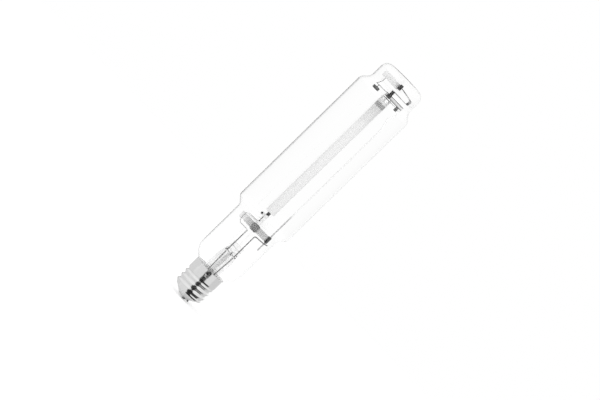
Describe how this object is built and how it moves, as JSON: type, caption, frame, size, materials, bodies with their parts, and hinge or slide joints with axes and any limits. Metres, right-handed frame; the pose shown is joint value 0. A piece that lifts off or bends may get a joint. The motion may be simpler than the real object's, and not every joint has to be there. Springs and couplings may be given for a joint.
{
  "type": "high pressure sodium lamp",
  "caption": "Tubular high pressure sodium lamp: necked clear glass bulb on a mogul screw cap, with a ceramic arc tube held in a wire frame by sprung leaves.",
  "frame": {"origin": "on the lamp's axis, at the lowest face of the centre contact", "axes": "+Z along the lamp's axis from the cap to the dome; +X to the frame's side rod; -Y is the front"},
  "size_m": [0.074, 0.074, 0.3444],
  "materials": {
    "clear_glass": "clear, blown",
    "stem_glass": "clear, pressed",
    "cap_metal": "bright nickel plate, faintly dented",
    "insulator_glass": "opaque pale glass",
    "contact_metal": "tinned, satin",
    "solder": "soft solder, satin",
    "cement": "matt basing cement",
    "lead_wire": "drawn nickel wire",
    "rod_metal": "drawn nickel-plated rod",
    "strip_metal": "rolled strip, satin",
    "spring_metal": "rolled spring strip, satin",
    "ceramic": "opaque white ceramic",
    "alumina": "translucent white ceramic",
    "niobium": "drawn tube, dull",
    "tungsten": "drawn wire, dull",
    "getter_metal": "pressed channel, dull"
  },
  "bodies": {
    "root": {"outer_bulb": "clear_glass", "stem": "stem_glass", "cap_shell": "cap_metal", "cap_insulator": "insulator_glass", "centre_contact": "contact_metal", "contact_solder": "solder", "basing_cement": "cement", "left_lead": "lead_wire", "right_lead": "lead_wire", "return_wire": "lead_wire", "side_rod": "rod_metal", "lower_bridge": "strip_metal", "bridge_back_strip": "strip_metal", "bridge_bush": "ceramic", "rod_ferrule": "strip_metal", "arc_tube": "alumina", "lower_plug": "alumina", "upper_plug": "alumina", "heat_shield": "niobium", "lower_end_tube": "niobium", "upper_end_tube": "niobium", "lower_electrode_rod": "tungsten", "lower_electrode_coil": "tungsten", "upper_electrode_rod": "tungsten", "upper_electrode_coil": "tungsten", "lower_weld_tab": "niobium", "upper_cross_strap": "strip_metal", "rod_tab": "strip_metal", "getter_arm": "strip_metal", "getter_ring": "getter_metal", "getter_wire": "getter_metal", "spring_pin": "rod_metal", "right_spring": "spring_metal", "left_spring": "spring_metal", "left_stay": "lead_wire"}
  },
  "joints": []
}
